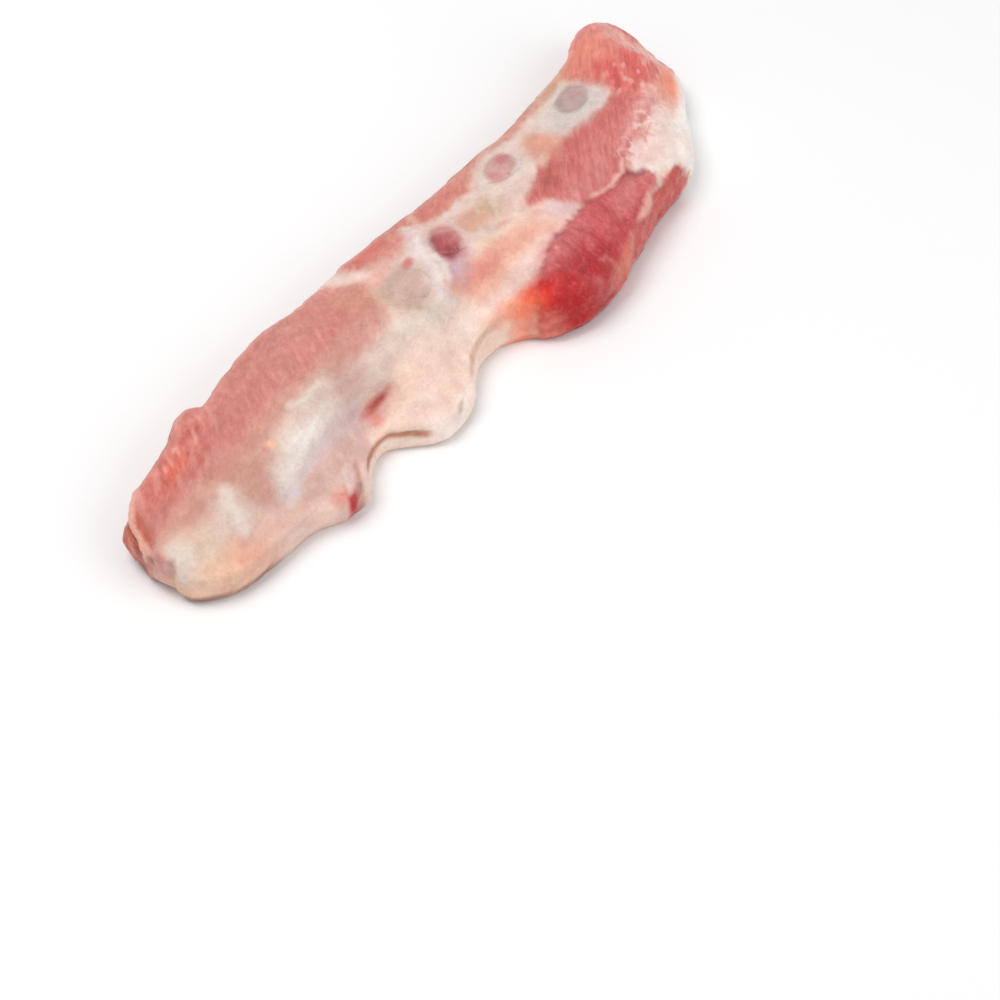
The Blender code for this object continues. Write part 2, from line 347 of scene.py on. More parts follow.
def underside(s):
    under = smooth_step(0.3, 0.75, -s.normal[:, 2])
    s.paint(under, (166, 74, 84), raw=1, wet=0.6, grain=0.45)
    flat = np.stack([s.x, s.y, 0 * s.x], 1)
    light = smooth_step(-0.1, 0.5, lumps(flat * (0.6, 1, 1), 15, 31))
    s.paint(under * light * 0.7, (192, 98, 98), raw=1)
    dark = smooth_step(0.1, 0.6, lumps(flat * (0.7, 1, 1), 12, 32))
    s.paint(under * dark * 0.6, (142, 56, 76), raw=1)
    lilac = smooth_step(0.2, 0.7, lumps(flat, 10, 33))
    s.paint(under * lilac * 0.5, (198, 146, 168), raw=0.4, wet=0.7)
    wisps = smooth_step(-0.4, 0.6, s.strands(0.5, 8, 1.2, 35))
    torn = smooth_step(-0.9, 0.2, lumps(flat, 7, 38))
    for points, width in SILVERSKIN:
        film = s.along(points, width * 2.2, 0.9) * wisps
        s.paint(under * film * 0.75, (222, 184, 184), raw=0.2, wet=0.5)
        vein = under * s.along(points, width * 0.6, 0.95) * torn
        s.paint(vein * 0.85, (240, 218, 208), raw=0, wet=0.4, rise=0.3)
    marbling = web(flat * (0.45, 1, 1), 12, 34, 0.2)
    s.paint(under * marbling * 0.5, (226, 190, 188), raw=0.1, rise=0.15)
    s.paint(under * web(flat * (0.6, 1, 1), 8, 37, 0.3) * 0.25, (222, 184, 182), raw=0.2)
    rear = s.along([(-122, 20), (-90, 27), (-50, 32), (-10, 29), (30, 25), (70, 25), (100, 31),
                    (118, 34)], 7, 0.5)
    s.paint(under * rear * 0.85, (222, 132, 112), raw=0.5, wet=0.45, rise=0.4)
    fat = smooth_step(-0.2, 0.7, lumps(flat, 7, 36))
    s.paint(under * rear * fat * 0.7, (238, 186, 164), raw=0.1, rise=0.3)
    s.paint(under * rear * smooth_step(0.0, 0.7, lumps(flat, 6, 39)) * 0.6, (186, 84, 78), raw=0.8)
    fore = s.along([(-126, -6), (-112, -15), (-92, -17), (-78, -22), (-58, -14), (-38, -27),
                    (-16, -18), (2, -19)], 5, 0.5)
    s.paint(under * fore * 0.9, (240, 212, 194), raw=0, wet=0.4, rise=0.3)
    pad = s.patch(104, -14, 22, 12, 30, 0.4)
    s.paint(under * pad * 0.85, (238, 212, 198), raw=0, wet=0.4, rise=0.3)


# Membrane over muscle: the whole narrow half of the strip. A thin skin dulls the dusty pink
# muscle below it, and it turns tan and cream where it runs out over fat and cartilage.
def membrane(s):
    s.paint(s.top, (230, 200, 186), raw=0.05, wet=0.3)
    muscle = s.inside([(-140, 1), (-116, 1), (-96, 1), (-76, 3.5), (-60, 3), (-46, -2), (-34, 0),
                       (-27, 6), (-24, 14), (-28, 24), (-31, 45), (-140, 45)], 9, 1.6, 0.95)
    s.paint(s.top * muscle, (208, 132, 121), raw=0.5, wet=0.35, grain=0.95)
    mottle = 0.5 + 0.5 * lumps(s.at, 7, 11)
    s.paint(s.top * muscle * mottle * 0.4, (214, 120, 108))
    s.paint(s.top * muscle * (1 - mottle) * 0.3, (207, 146, 133))
    fibres = s.strands(0.95, 7, 1.2, 12)
    s.paint(s.top * muscle * smooth_step(0.1, 0.7, fibres) * 0.35, (226, 156, 144), rise=0.15)
    s.paint(s.top * muscle * smooth_step(-0.1, -0.7, fibres) * 0.3, (194, 108, 98), rise=-0.15)
    s.dab(-64, 22, 26, 6, 3, 0.6, 0.5, (206, 124, 114))
    s.dab(-84, 12, 12, 5, 0, 0.7, 0.6, (202, 124, 116))
    s.dab(-34, 18, 11, 7, -8, 0.6, 0.6, (212, 132, 116))
    s.dab(-29, 11, 5, 9, 10, 0.8, 0.6, (206, 150, 124))
    s.dab(-104, 10, 20, 8, 5, 0.7, 0.6, (198, 116, 106))
    s.dab(-108, 3.5, 22, 4.5, 0, 0.7, 0.75, (206, 146, 126), raw=0.2)
    s.dab(-94, -5, 9, 6, 4, 0.6, 0.9, (201, 142, 125), raw=0.15)
    s.dab(-76, 4, 16, 3, 0, 0.8, 0.6, (210, 152, 136), raw=0.2)
    s.dab(-48, 3, 16, 4, 3, 0.8, 0.7, (208, 154, 140), raw=0.25)


# The near end: cream fat and a peach rim, a white streak of cartilage, and a patch of orange-red
# muscle where the membrane is torn. A lump of brown-red muscle shows under the membrane's edge.
def near_end(s):
    s.dab(-121, -5, 11, 6.5, -40, 0.6, 0.95, (225, 196, 176), raw=0, wet=0.3)
    s.dab(-126, -2, 4, 4.5, -60, 0.6, 0.8, (230, 214, 202), raw=0)
    s.dab(-112, -13, 11, 4.2, -6, 0.7, 0.9, (231, 166, 139), raw=0, wet=0.35)
    s.dab(-121, -11.5, 7, 3.5, -38, 0.6, 0.8, (240, 196, 168), raw=0)
    s.dab(-107, -11, 5, 1.2, 0, 0.7, 0.6, (206, 146, 130))
    s.dab(-106, -4.5, 4.2, 7, 8, 0.8, 0.7, (222, 202, 190), raw=0)
    s.streak([(-108, -8.5), (-107, -5), (-105, -2), (-104, 1)], 1.7, 0.9, 0.6, (230, 216, 206),
             raw=0, rise=0.2)

    s.dab(-104, 18, 15, 5.5, 12, 0.6, 0.75, (220, 116, 102), raw=0.75, wet=0.5, grain=1.2)
    s.dab(-107, 16, 5, 3, 30, 0.7, 0.8, (221, 100, 80), raw=0.9, wet=0.6)
    shreds = s.strands(1.0, 6, 1.3, 47)
    frayed = s.top * s.patch(-101, 18, 17, 7, 12, 0.7)
    s.paint(frayed * smooth_step(0.1, 0.6, shreds) * 0.6, (238, 164, 150), raw=0.3, rise=0.35)
    s.paint(frayed * smooth_step(-0.1, -0.6, shreds) * 0.5, (196, 84, 74), raw=0.8, rise=-0.35)
    s.streak([(-101, 13.5), (-99, 17), (-95.5, 21)], 0.6, 0.8, 0.3, (238, 170, 158), rise=0.2)
    s.streak([(-97, 12), (-94, 17), (-91, 22)], 0.8, 0.8, 0.5, (190, 100, 98), rise=-0.35)
    s.streak([(-112, 13), (-110, 18), (-105, 23.5)], 0.8, 0.8, 0.4, (192, 96, 88), rise=-0.35)

    lump = smooth_step(-122, -127, s.at[:, 0] - 0.45 * (s.at[:, 1] - 10))
    lump = lump * smooth_step(5, 9, s.at[:, 1])
    s.paint(lump, (218, 116, 86), raw=0.8, wet=0.5, grain=1.4)
    dark = smooth_step(0.1, 0.6, lumps(s.at, 5, 19))
    s.paint(lump * dark * 0.6, (186, 78, 58), raw=0.8, rise=-0.3)
    # Painted shade: the lump darkens towards the bottom, where it meets the table.
    s.paint(lump * smooth_step(6, 1, s.at[:, 2]) * 0.8, (140, 62, 48), raw=0.7, wet=0.6)
    edge = [(-129, 6), (-127, 11), (-124, 16), (-119, 21.5), (-113, 25)]
    s.streak(edge, 1.0, 0.7, 0.85, (232, 176, 160), raw=0.1, rise=0.5)
    # Painted shade: a dark line in a small groove under the membrane's raised edge, where the lump
    # tucks under it.
    shaded_below_edge = s.along([(x - 1.6, y + 1.0) for x, y in edge], 0.7, 0.6)
    s.paint(shaded_below_edge * 0.9, (150, 66, 50), raw=0.7, rise=-0.9)

    tag = s.patch(-129, 3, 2.4, 2.6, 10, 0.6)
    s.paint(tag * 0.85, (214, 140, 134), raw=0.3, wet=0.5, rise=0.5)
    # Painted shade: the tag darkens towards the bottom, where it meets the table.
    s.paint(tag * smooth_step(9, 5, s.at[:, 2]) * 0.7, (178, 128, 122), raw=0.2)
    s.paint(s.patch(-129.5, -0.8, 2.4, 1.3, 0, 0.6) * 0.8, (196, 146, 132), rise=-1.2)
    wall = smooth_step(0.3, -0.1, s.normal[:, 2])
    pink = s.patch(-130, 0, 8, 9, 0, 0.5)
    s.paint(wall * pink * 0.7, (222, 164, 148), raw=0.2, wet=0.4)
    peach = s.patch(-124, -10, 14, 11, -45, 0.5)
    s.paint(wall * peach * 0.8, (234, 190, 166), raw=0.05, wet=0.35)
    # Painted shade: a dark greyish-brown strip along the base of the near end, where it meets the
    # table.
    foot_shade = s.along([(-129, -6), (-124, -14), (-116, -18), (-106, -19)], 4, 0.6)
    s.paint(smooth_step(4.5, 2, s.at[:, 2]) * foot_shade * 0.85, (158, 108, 92), raw=0.3, wet=0.5)


# Cartilage under the membrane: a greyish white band along the middle, with a lilac-grey shade
# below it and a small fleck of yellow fat above it.
def cartilage(s):
    s.dab(-78, -13.5, 24, 5, 0, 0.5, 0.85, (215, 171, 160), raw=0)
    s.dab(-96, -14.5, 9, 3, -4, 0.6, 0.7, (226, 186, 170), raw=0)
    s.dab(-86, -19, 5, 2.4, -24, 0.6, 0.8, (240, 202, 188), raw=0)
    s.streak([(-90, -8), (-84, -7), (-76, -5.8), (-68, -4), (-60, -3)], 3.6, 0.8, 0.9,
             (224, 208, 199), raw=0, wet=0.3, rise=0.3)
    wisps = smooth_step(-0.4, 0.5, s.strands(0.3, 6, 1.4, 18))
    brightest = s.along([(-87, -7.6), (-79, -6.3), (-70, -4.6)], 2.6, 0.9)
    s.paint(s.top * brightest * 0.6, (236, 224, 217), raw=0)
    s.paint(s.top * brightest * wisps * 0.4, (243, 234, 228), raw=0, rise=0.15)
    s.dab(-66, 0, 10, 3.2, 6, 0.7, 0.7, (216, 190, 176), raw=0.05)
    for points in ([(-74, 2), (-68, 0.5), (-62, 1.5)],
                   [(-66, -3), (-60, -5), (-54, -5.5)],
                   [(-60, -1), (-54, -2), (-47, -3)]):
        s.streak(points, 0.9, 0.9, 0.6, (232, 216, 206), rise=0.15)
    s.streak([(-58, -5.5), (-46, -6), (-34, -7), (-22, -7.5), (-12, -8)], 3.8, 0.8, 0.85,
             (223, 199, 185), raw=0, wet=0.3)
    s.dab(-24, -6.5, 9, 2.8, -4, 0.8, 0.7, (232, 218, 208), raw=0)
    s.streak([(-92, -10.8), (-80, -10.6), (-68, -9.8), (-58, -8)], 1.6, 0.9, 0.6,
             (217, 198, 200), raw=0, rise=-0.5)
    s.dab(-58, -7.5, 5, 2.6, 8, 0.7, 0.55, (206, 176, 178), rise=-0.3)
    s.dab(-54, -3, 7, 2.8, -10, 0.7, 0.7, (205, 157, 147))
    s.dab(-85, -0.8, 1.5, 1.1, 10, 0.5, 0.9, (240, 190, 158), raw=0, wet=0.5, rise=0.3)
    s.dab(-87.3, -0.6, 1.2, 0.9, 10, 0.6, 0.5, (214, 120, 110), wet=0.5)


# The fat flap: soft pale peach fat that thins out over the front edge between two notches. A
# dark pink slit and a few bloody folds mark where it was pulled off.
NEAR_NOTCH = [(-66, -18), (-61, -16), (-56, -16.5), (-52, -19.5), (-49, -23)]
FAR_NOTCH = [(-22, -21), (-14, -19.5), (-6, -19), (0, -21), (3, -24)]


def notch(s, points, height, slope, pale, brown, share):
    """The wall of a notch, with a brown band under its rim: the brownish side face seen there,
    darkened as painted shade under the lip.
    """
    wall = smooth_step(0.75, 0.5, s.normal[:, 2]) * smooth_step(-0.9, -0.7, s.normal[:, 2])
    below = height + slope * (s.at[:, 0] - points[0][0]) - s.at[:, 2]
    shaded_band = smooth_step(0.7, 1.6, below) * smooth_step(4.2, 2.8, below)
    cut = wall * s.along(points, 3.4, 0.6)
    s.paint(cut * 0.75, pale, raw=0)
    # The brown band is painted shade under the notch's overhanging rim, over its brownish side face.
    s.paint(cut * shaded_band * share, brown, rise=-0.3)


def fat_flap(s):
    flap = s.inside([(-60, -14), (-50, -12), (-40, -10), (-22, -10), (-6, -11), (4, -15),
                     (2, -24), (-20, -45), (-64, -45), (-62, -22)], 4)
    s.paint(s.top * flap, (244, 212, 196), raw=0, wet=0.35)
    s.dab(-12, -14, 14, 3.4, -4, 0.7, 0.8, (248, 222, 210), raw=0)
    s.streak([(-46, -24), (-38, -28), (-28, -27), (-20, -22)], 2.6, 0.8, 0.8, (252, 234, 226),
             raw=0, rise=0.3)
    s.dab(-32, -22, 12, 3, 6, 0.7, 0.5, (242, 204, 186), raw=0)
    s.dab(-42, -14, 7, 3.5, 14, 0.7, 0.5, (246, 206, 184), raw=0)
    s.streak([(-52, -15), (-44, -17), (-38, -22)], 0.8, 0.9, 0.35, (252, 232, 220), rise=0.25)
    s.streak([(-30, -12), (-24, -16), (-22, -21)], 0.8, 0.9, 0.35, (236, 196, 180), rise=-0.25)
    s.streak([(-62, -12), (-57, -10), (-53, -9.5)], 1.2, 0.8, 0.5, (210, 176, 180))

    s.dab(-51.5, -10.6, 6.5, 2.2, -12, 0.7, 0.6, (224, 160, 150), 0.3, rise=-0.25)
    s.dab(-51, -10.2, 4.6, 0.95, -10, 0.6, 0.9, (204, 104, 94), 0.3, raw=0.4, wet=0.7, rise=-0.6)
    s.dab(-50.5, -10.4, 2.4, 0.5, -10, 0.6, 0.8, (180, 78, 66), 0.3, wet=0.8, rise=-0.2)
    s.dab(-53.5, -12.2, 2.0, 1.3, -30, 0.9, 0.6, (230, 122, 106), 0.6, wet=0.6)

    # Each notch gets a pale wall and a brown band of painted shade under its rim.
    notch(s, NEAR_NOTCH, 10.4, -0.12, (244, 220, 204), (180, 100, 66), 0.85)
    notch(s, FAR_NOTCH, 11.4, 0.09, (244, 216, 198), (198, 142, 116), 0.45)

    s.dab(-76, -19.5, 6, 3.4, 20, 0.7, 0.6, (222, 180, 170), wet=0.5)
    s.dab(-80, -21.8, 4, 1.8, -30, 0.7, 0.8, (234, 146, 126), 0.4, wet=0.6)
    clot = s.patch(-79, -23.8, 2.2, 1.6, 10, 0.6, 0.4)
    s.paint(clot, (186, 20, 20), raw=0.4, wet=0.9, rise=-0.7)
    s.dab(-75.6, -22.6, 1.6, 1.0, 20, 0.7, 0.8, (158, 124, 118), 0.4, wet=0.5)
    s.streak([(-76, -24), (-74.8, -22), (-72.5, -19.5), (-70.5, -17.5)], 0.9, 0.9, 0.55,
             (190, 122, 110), wet=0.6, rise=-0.7)
    s.streak([(-78.5, -21.5), (-76.5, -19), (-73.5, -17)], 0.8, 0.8, 0.6, (232, 206, 200), rise=0.4)
    s.streak([(-73.5, -23), (-71.5, -20.5), (-69, -18.5)], 0.8, 0.8, 0.5, (234, 200, 190), rise=0.4)
    s.dab(-33.5, -26.5, 2.2, 0.5, 8, 0.5, 0.6, (190, 158, 140), rise=-0.4)


# The sawn band: red-brown meat along the rear edge, with pale gristle and tan fat between it and
# the sawn ends of the ribs.
def sawn_band(s):
    broad = s.inside([(-27, 45), (-26, 22), (-18, 13), (-10, 5), (-4, -3), (12, -3), (34, -2),
                      (60, 3), (92, 3), (98, 14), (100, 45)], 3, 0.8)
    s.paint(s.top * broad, (230, 202, 190), raw=0.05, wet=0.3)
    s.streak([(-29, 32), (-25, 25), (-21, 18), (-16, 12)], 2.5, 0.8, 0.85, (242, 210, 202),
             raw=0, rise=0.4)
    meat = s.inside([(-20, 29), (-18, 20), (-10, 15.5), (2, 16), (7, 20), (12, 16), (30, 16),
                     (37, 20), (46, 24), (76, 22), (78, 45), (-22, 45)], 6, 1.6, 0.8)
    s.paint(s.top * meat * 0.95, (210, 124, 110), raw=0.7, wet=0.45, grain=0.6)
    s.dab(-11, 23.5, 9, 3, 4, 0.7, 0.7, (214, 106, 90), raw=0.85, wet=0.5)
    s.dab(-2, 18, 8, 3, 10, 0.7, 0.5, (222, 140, 122), raw=0.6)
    s.dab(20, 21, 12, 2, 0, 0.7, 0.5, (206, 114, 104), raw=0.8)
    s.dab(24, 17.5, 9, 1.8, 2, 0.8, 0.5, (222, 142, 124), raw=0.5)
    s.dab(60, 24, 18, 3, 0, 0.7, 0.6, (212, 150, 136), raw=0.4)
    s.streak([(-22, 30), (-8, 28), (20, 26.6), (50, 26), (80, 26)], 1.0, 0.7, 0.5, (172, 104, 94))
    s.streak([(36, 17.5), (42, 21.5), (50, 24.5), (60, 29)], 1.6, 0.8, 0.6, (228, 190, 176),
             raw=0.1, rise=0.3)
    s.dab(86, 24, 11, 4, 8, 0.7, 0.85, (202, 148, 118), raw=0.2)
    s.dab(35, 22.5, 5, 3, 10, 0.8, 0.6, (216, 152, 134), raw=0.4)
    s.streak([(3, 13), (7, 18), (13, 25)], 1.5, 0.8, 0.7, (232, 191, 172), raw=0.1, rise=0.25)
    s.dab(17, 6, 8.5, 4.2, -2, 0.6, 0.9, (213, 159, 136), raw=0)
    s.dab(25, 5, 5, 4.5, 0, 0.7, 0.8, (204, 168, 140), raw=0)
    s.dab(57.5, 10, 5.5, 6.5, 70, 0.6, 0.85, (223, 158, 136), raw=0.1)
    s.dab(56, 3.5, 7, 2, 10, 0.6, 0.6, (218, 150, 132), raw=0.3)
    s.dab(53, 18, 4, 2.6, 40, 0.7, 0.7, (236, 208, 198), raw=0)
    s.dab(21, -2, 2.4, 1.0, -10, 0.7, 0.6, (222, 138, 128), wet=0.5)
    s.dab(20, 21.5, 12, 4, -4, 0.7, 0.25, (208, 116, 102), raw=0.8)
    s.dab(55, 23.5, 14, 2.6, 0, 0.7, 0.5, (204, 132, 112), raw=0.5)
    s.dab(-2, -4, 6, 2, 10, 0.7, 0.5, (218, 176, 172))
    bands = s.strands(0.8, 12, 2.2, 26)
    fatty = s.top * broad * (1 - 0.9 * meat)
    s.paint(fatty * smooth_step(0.2, 0.7, bands) * 0.35, (240, 220, 210), rise=0.2)
    s.paint(fatty * smooth_step(-0.2, -0.7, bands) * 0.3, (218, 170, 154), rise=-0.2)


# Sawn ends: a pale collar of gristle round each rib, and inside it the core, grey-lilac, pink or
# dark red with marrow. The fourth one is veiled by the membrane.
def sawn_ends(s):
    s.dab(77, 11.5, 13.5, 8.2, 12, 0.4, 0.9, (216, 203, 195), raw=0, wet=0.35)
    s.dab(83, 7.5, 7, 2.6, 8, 0.7, 0.6, (221, 207, 204), raw=0, rise=0.15)
    s.dab(83, 20.5, 6, 1.6, 16, 0.7, 0.6, (230, 222, 214), raw=0, rise=0.15)
    s.dab(81.8, 14.4, 7.6, 4.8, 32, 0.22, 0.85, (166, 142, 138), 0.25, raw=0, rise=-0.2)
    s.dab(82.3, 14.1, 6.4, 3.8, 32, 0.4, 1, (189, 161, 156), 0.25, raw=0, wet=0.4, rise=0.15)
    s.dab(84, 15.3, 3.5, 2.2, 32, 0.7, 0.6, (198, 150, 146), raw=0)

    s.dab(43, 13.2, 12.6, 8, 22, 0.35, 0.9, (228, 205, 196), raw=0, wet=0.35, rise=0.1)
    s.dab(57.5, 9.5, 7, 4.6, 62, 0.8, 0.85, (219, 147, 123), 1, raw=0.1)
    s.dab(70, 9, 4, 3, 20, 0.8, 0.6, (206, 190, 184), raw=0)
    s.dab(42.9, 14.1, 7.8, 4.7, 30, 0.22, 0.9, (196, 148, 142), 0.25, raw=0.05, rise=-0.15)
    s.dab(42.2, 13.8, 6.4, 3.5, 30, 0.5, 0.85, (214, 160, 152), 0.25, raw=0, rise=0.12)
    s.dab(46.6, 16.0, 3.0, 2.4, 30, 0.6, 0.9, (199, 106, 110), 0.25, raw=0.2, wet=0.5)
    s.dab(37.8, 12.2, 2.2, 2.0, 30, 0.6, 0.6, (204, 134, 128), 0.25, raw=0.1)

    s.dab(3.5, 5.8, 11.5, 7.2, 52, 0.45, 0.85, (226, 197, 190), raw=0, wet=0.35)
    s.dab(-2.5, -2.5, 6, 3.2, 30, 0.7, 0.85, (201, 162, 172), raw=0, wet=0.4)
    s.dab(3.2, 5.6, 7.9, 4.3, 50, 0.3, 1, (164, 70, 77), 0.4, raw=0.5, wet=0.5, rise=-0.15)
    s.dab(4.8, 5.6, 6.4, 3.0, 50, 0.7, 0.9, (190, 94, 92), 0.4, raw=0.6, rise=0.1)
    s.dab(7.4, 4.6, 5, 1.6, 56, 0.8, 0.6, (206, 136, 132), 0.4, raw=0.3)
    s.dab(8.4, 10.6, 3, 3, 50, 0.8, 0.75, (206, 138, 130), 0.3)
    s.dab(0, 1.8, 3, 1.3, 56, 0.6, 0.7, (158, 60, 70), 0.25, raw=0.4)
    s.dab(2.5, -2, 2.4, 1.3, 20, 0.7, 0.6, (204, 128, 132), wet=0.5)

    s.dab(-18, 4.5, 11.5, 8, 46, 0.5, 0.8, (222, 196, 182), raw=0, wet=0.3)
    s.dab(-19, 4, 9.2, 6.2, 48, 0.45, 0.85, (198, 164, 147), raw=0)
    s.dab(-18, 3.6, 6, 3.6, 46, 0.7, 0.5, (207, 176, 162), raw=0, rise=0.12)
    s.dab(-10.5, 8.8, 3, 1.7, 24, 0.6, 0.85, (212, 112, 110), 0.4, raw=0.4, wet=0.5)
    s.dab(-17.5, 14.5, 7, 2.6, 24, 0.8, 0.7, (228, 158, 144))
    s.streak([(-25.5, 8), (-26.5, 3), (-24.5, -2), (-21, -5)], 1.2, 0.9, 0.4, (190, 160, 138))
    s.streak([(-14, -7), (-9.5, 0), (-4.5, 7.5), (0, 14), (5, 21)], 2.2, 0.8, 0.75,
             (231, 214, 210), raw=0, rise=0.25)
    for points in ([(-12, -4), (-8, 1), (-4, 7), (0, 14)], [(-9, -5), (-5, 0), (-3, 4)]):
        s.streak(points, 0.8, 0.9, 0.6, (238, 224, 220), rise=0.2)


# The muscle of the broad half: a long pink-red band and, in front of it, a plump red one with a
# bloody dark corner. A seam of white fat parts them, and a thin dark strip edges the front.
def long_band(s):
    lens = s.inside([(-13, -6), (0, -4.5), (14, -5.5), (30, -7), (42, -9), (38, -16), (20, -18),
                     (6, -16), (-4, -12)], 4, 0.8)
    s.paint(s.top * lens, (238, 178, 157), raw=0.1, wet=0.35)
    s.dab(1, -7.5, 9, 2.6, -14, 0.8, 0.85, (220, 134, 120), raw=0.2)
    s.dab(-8, -5.5, 6, 1.4, -4, 0.8, 0.5, (222, 160, 146))
    s.streak([(8, -3.5), (16, -4), (26, -5.3), (33, -6.2), (40, -8.5)], 1.2, 0.9, 0.8,
             (240, 206, 182), raw=0, rise=0.3)
    s.dab(32, -10.5, 9, 5, -36, 0.6, 0.7, (236, 196, 184), raw=0, wet=0.4)
    s.dab(37, -12.5, 5.5, 4, -50, 0.6, 0.9, (226, 194, 194), raw=0, wet=0.4)
    s.dab(16, -17, 15, 2.8, -3, 0.7, 0.9, (242, 208, 196), raw=0)
    band = s.inside([(31, -3.5), (38, -0.5), (46, 1.8), (54, 3.8), (68, 4), (80, 3.2), (90, 4),
                     (97, 6), (100, -6), (86, -11), (72, -14), (68, -18.5), (58, -21), (44, -21),
                     (41, -13.5), (38, -8), (34, -6)], 4, 1.0, 0.8)
    s.paint(s.top * band, (211, 116, 110), raw=0.95, wet=0.5, grain=0.7, rise=0.35)
    s.dab(46, -2.4, 10, 3.4, 8, 0.7, 0.75, (194, 98, 88), raw=0.9)
    s.dab(62, 0.8, 14, 2, 2, 0.7, 0.5, (200, 104, 96), raw=0.9)
    s.dab(51, -13, 10, 3.8, 4, 0.7, 0.65, (217, 134, 130), raw=0.8)
    s.dab(64, -8.5, 9, 3.2, 16, 0.7, 0.65, (219, 136, 130), raw=0.9)
    s.dab(80, -7, 12, 2.8, 6, 0.8, 0.5, (221, 132, 126), raw=0.9)
    s.dab(82, 0, 12, 2.6, 2, 0.7, 0.5, (206, 102, 96), raw=1)
    sheaves = s.strands(0.85, 14, 2.4, 27)
    s.paint(s.top * band * smooth_step(0.1, 0.7, sheaves) * 0.3, (228, 146, 138), rise=0.15)
    s.paint(s.top * band * smooth_step(-0.1, -0.7, sheaves) * 0.3, (190, 88, 84), rise=-0.15)


def plump_front(s):
    front = s.inside([(15, -21), (20, -19.2), (28, -17.6), (44, -17.6), (58, -19), (68, -19.5),
                      (74, -21.5), (70, -25), (60, -28.5), (48, -33), (40, -45), (-2, -45),
                      (6, -25)], 2.6, 0.8, 1.7)
    s.paint(s.top * front, (207, 86, 90), raw=1, wet=0.6, grain=1.73, rise=0.5)
    s.dab(24, -20.4, 11, 3.2, 4, 0.8, 0.75, (219, 132, 130), raw=0.9)
    s.dab(50, -24.5, 12, 4, 8, 0.8, 0.4, (217, 102, 102), raw=1)
    s.dab(42, -21, 10, 2.4, -2, 0.8, 0.4, (216, 112, 112), raw=0.9)
    s.dab(59, -22.5, 10, 3, 10, 0.8, 0.75, (221, 131, 128), raw=0.9)
    s.dab(27, -30.5, 12, 5.6, -4, 0.7, 0.9, (178, 12, 24), raw=1, wet=0.7)
    low = smooth_step(-0.95, -0.7, s.normal[:, 2])
    hem = smooth_step(0.5, 0.1, s.normal[:, 2]) * low
    s.paint(hem * s.patch(26, -36, 22, 7, 4, 0.4) * 0.85, (178, 40, 44), raw=1, wet=0.6)
    s.dab(48, -29.4, 7, 1.8, 10, 0.7, 0.6, (196, 54, 58), raw=1)
    s.dab(65, -18.8, 6, 1.3, -14, 0.7, 0.8, (184, 66, 70), 0.4, raw=1)
    s.dab(70.5, -21, 4, 0.9, -16, 0.7, 0.7, (182, 84, 84), 0.4, raw=1)
    rolls = s.strands(1.73, 16, 3.4, 28)
    s.paint(s.top * front * smooth_step(0.1, 0.7, rolls) * 0.3, (222, 124, 120), rise=0.35)
    s.paint(s.top * front * smooth_step(-0.1, -0.7, rolls) * 0.35, (182, 48, 54), rise=-0.35)
    for points in ([(33, -20), (35, -26), (34, -33)],
                   [(45, -19), (47, -24), (45, -30)],
                   [(25, -21), (26, -27), (24, -34)]):
        s.streak(points, 0.9, 0.9, 0.35, (170, 44, 50), rise=-0.4)
    # An orange tint along the lower front edge, with a painted highlight on it.
    s.dab(40, -33.6, 9, 1.4, 12, 0.7, 0.65, (232, 128, 100), raw=0.8)
    s.streak([(31, -31), (34, -32.5), (35, -35)], 0.7, 0.9, 0.3, (234, 150, 136),
             raw=0.5, rise=0.3)

    for x, y, half_length, half_width, turn, soft, strength, tint, raw, wet in (
        (15.5, -28, 8.5, 3.8, -34, 0.8, 0.5, (204, 40, 46), 0.8, 0.4),
        (13.5, -30.5, 9.5, 4.4, -46, 0.6, 0.95, (182, 0, 5), 0.6, 0.2),
        (10.6, -25.4, 5.4, 2.8, -48, 0.7, 0.9, (220, 26, 22), 0.6, 0.25),
        (6.8, -22.8, 4.4, 2.4, -48, 0.8, 0.85, (240, 84, 54), 0.5, 0.4),
        (3, -20.6, 5.4, 2.4, -40, 0.7, 0.9, (254, 128, 92), 0.4, 0.6),
        (17, -31.5, 6.5, 3, -28, 0.7, 0.7, (180, 4, 12), 0.5, 0.2),
    ):
        blood = s.patch(x, y, half_length, half_width, turn, soft)
        s.paint(low * blood * strength, tint, raw=raw, wet=wet)
    folds = 0.3 + 0.6 * smooth_step(-0.1, 0.6, s.strands(2.3, 6, 2.2, 53))
    corner = s.patch(6.5, -27.5, 6, 3.6, -50, 0.8)
    s.paint(hem * corner * folds, (224, 124, 104), raw=0.3, rise=0.25)
    s.dab(-2, -18, 6, 1.8, -16, 0.8, 0.7, (250, 178, 148), raw=0.1)

    crease = s.along([(46, -17), (52, -18), (57, -17.4), (62, -17), (67, -14.5)], 0.8, 0.95)
    broken = smooth_step(-0.6, 0.5, lumps(s.at, 3.4, 54))
    s.paint(s.top * crease * broken * 0.75, (240, 188, 176), raw=0.1, rise=0.25)
    strip = s.inside([(46, -33), (58, -28.5), (68, -25.5), (76, -25), (88, -27), (88, -45),
                      (44, -45)], 1.4, 0.5, 1.7)
    s.paint(s.top * strip, (208, 86, 78), raw=1, wet=0.6, grain=1.6)
    edge = s.along([(48, -31.4), (56, -28.4), (64, -25.8), (71, -24.2), (79, -25)], 0.8, 0.8)
    broken = smooth_step(-0.9, 0.1, lumps(s.at, 5, 48))
    s.paint(s.top * edge * broken * 0.85, (234, 178, 162), raw=0, rise=0.3)


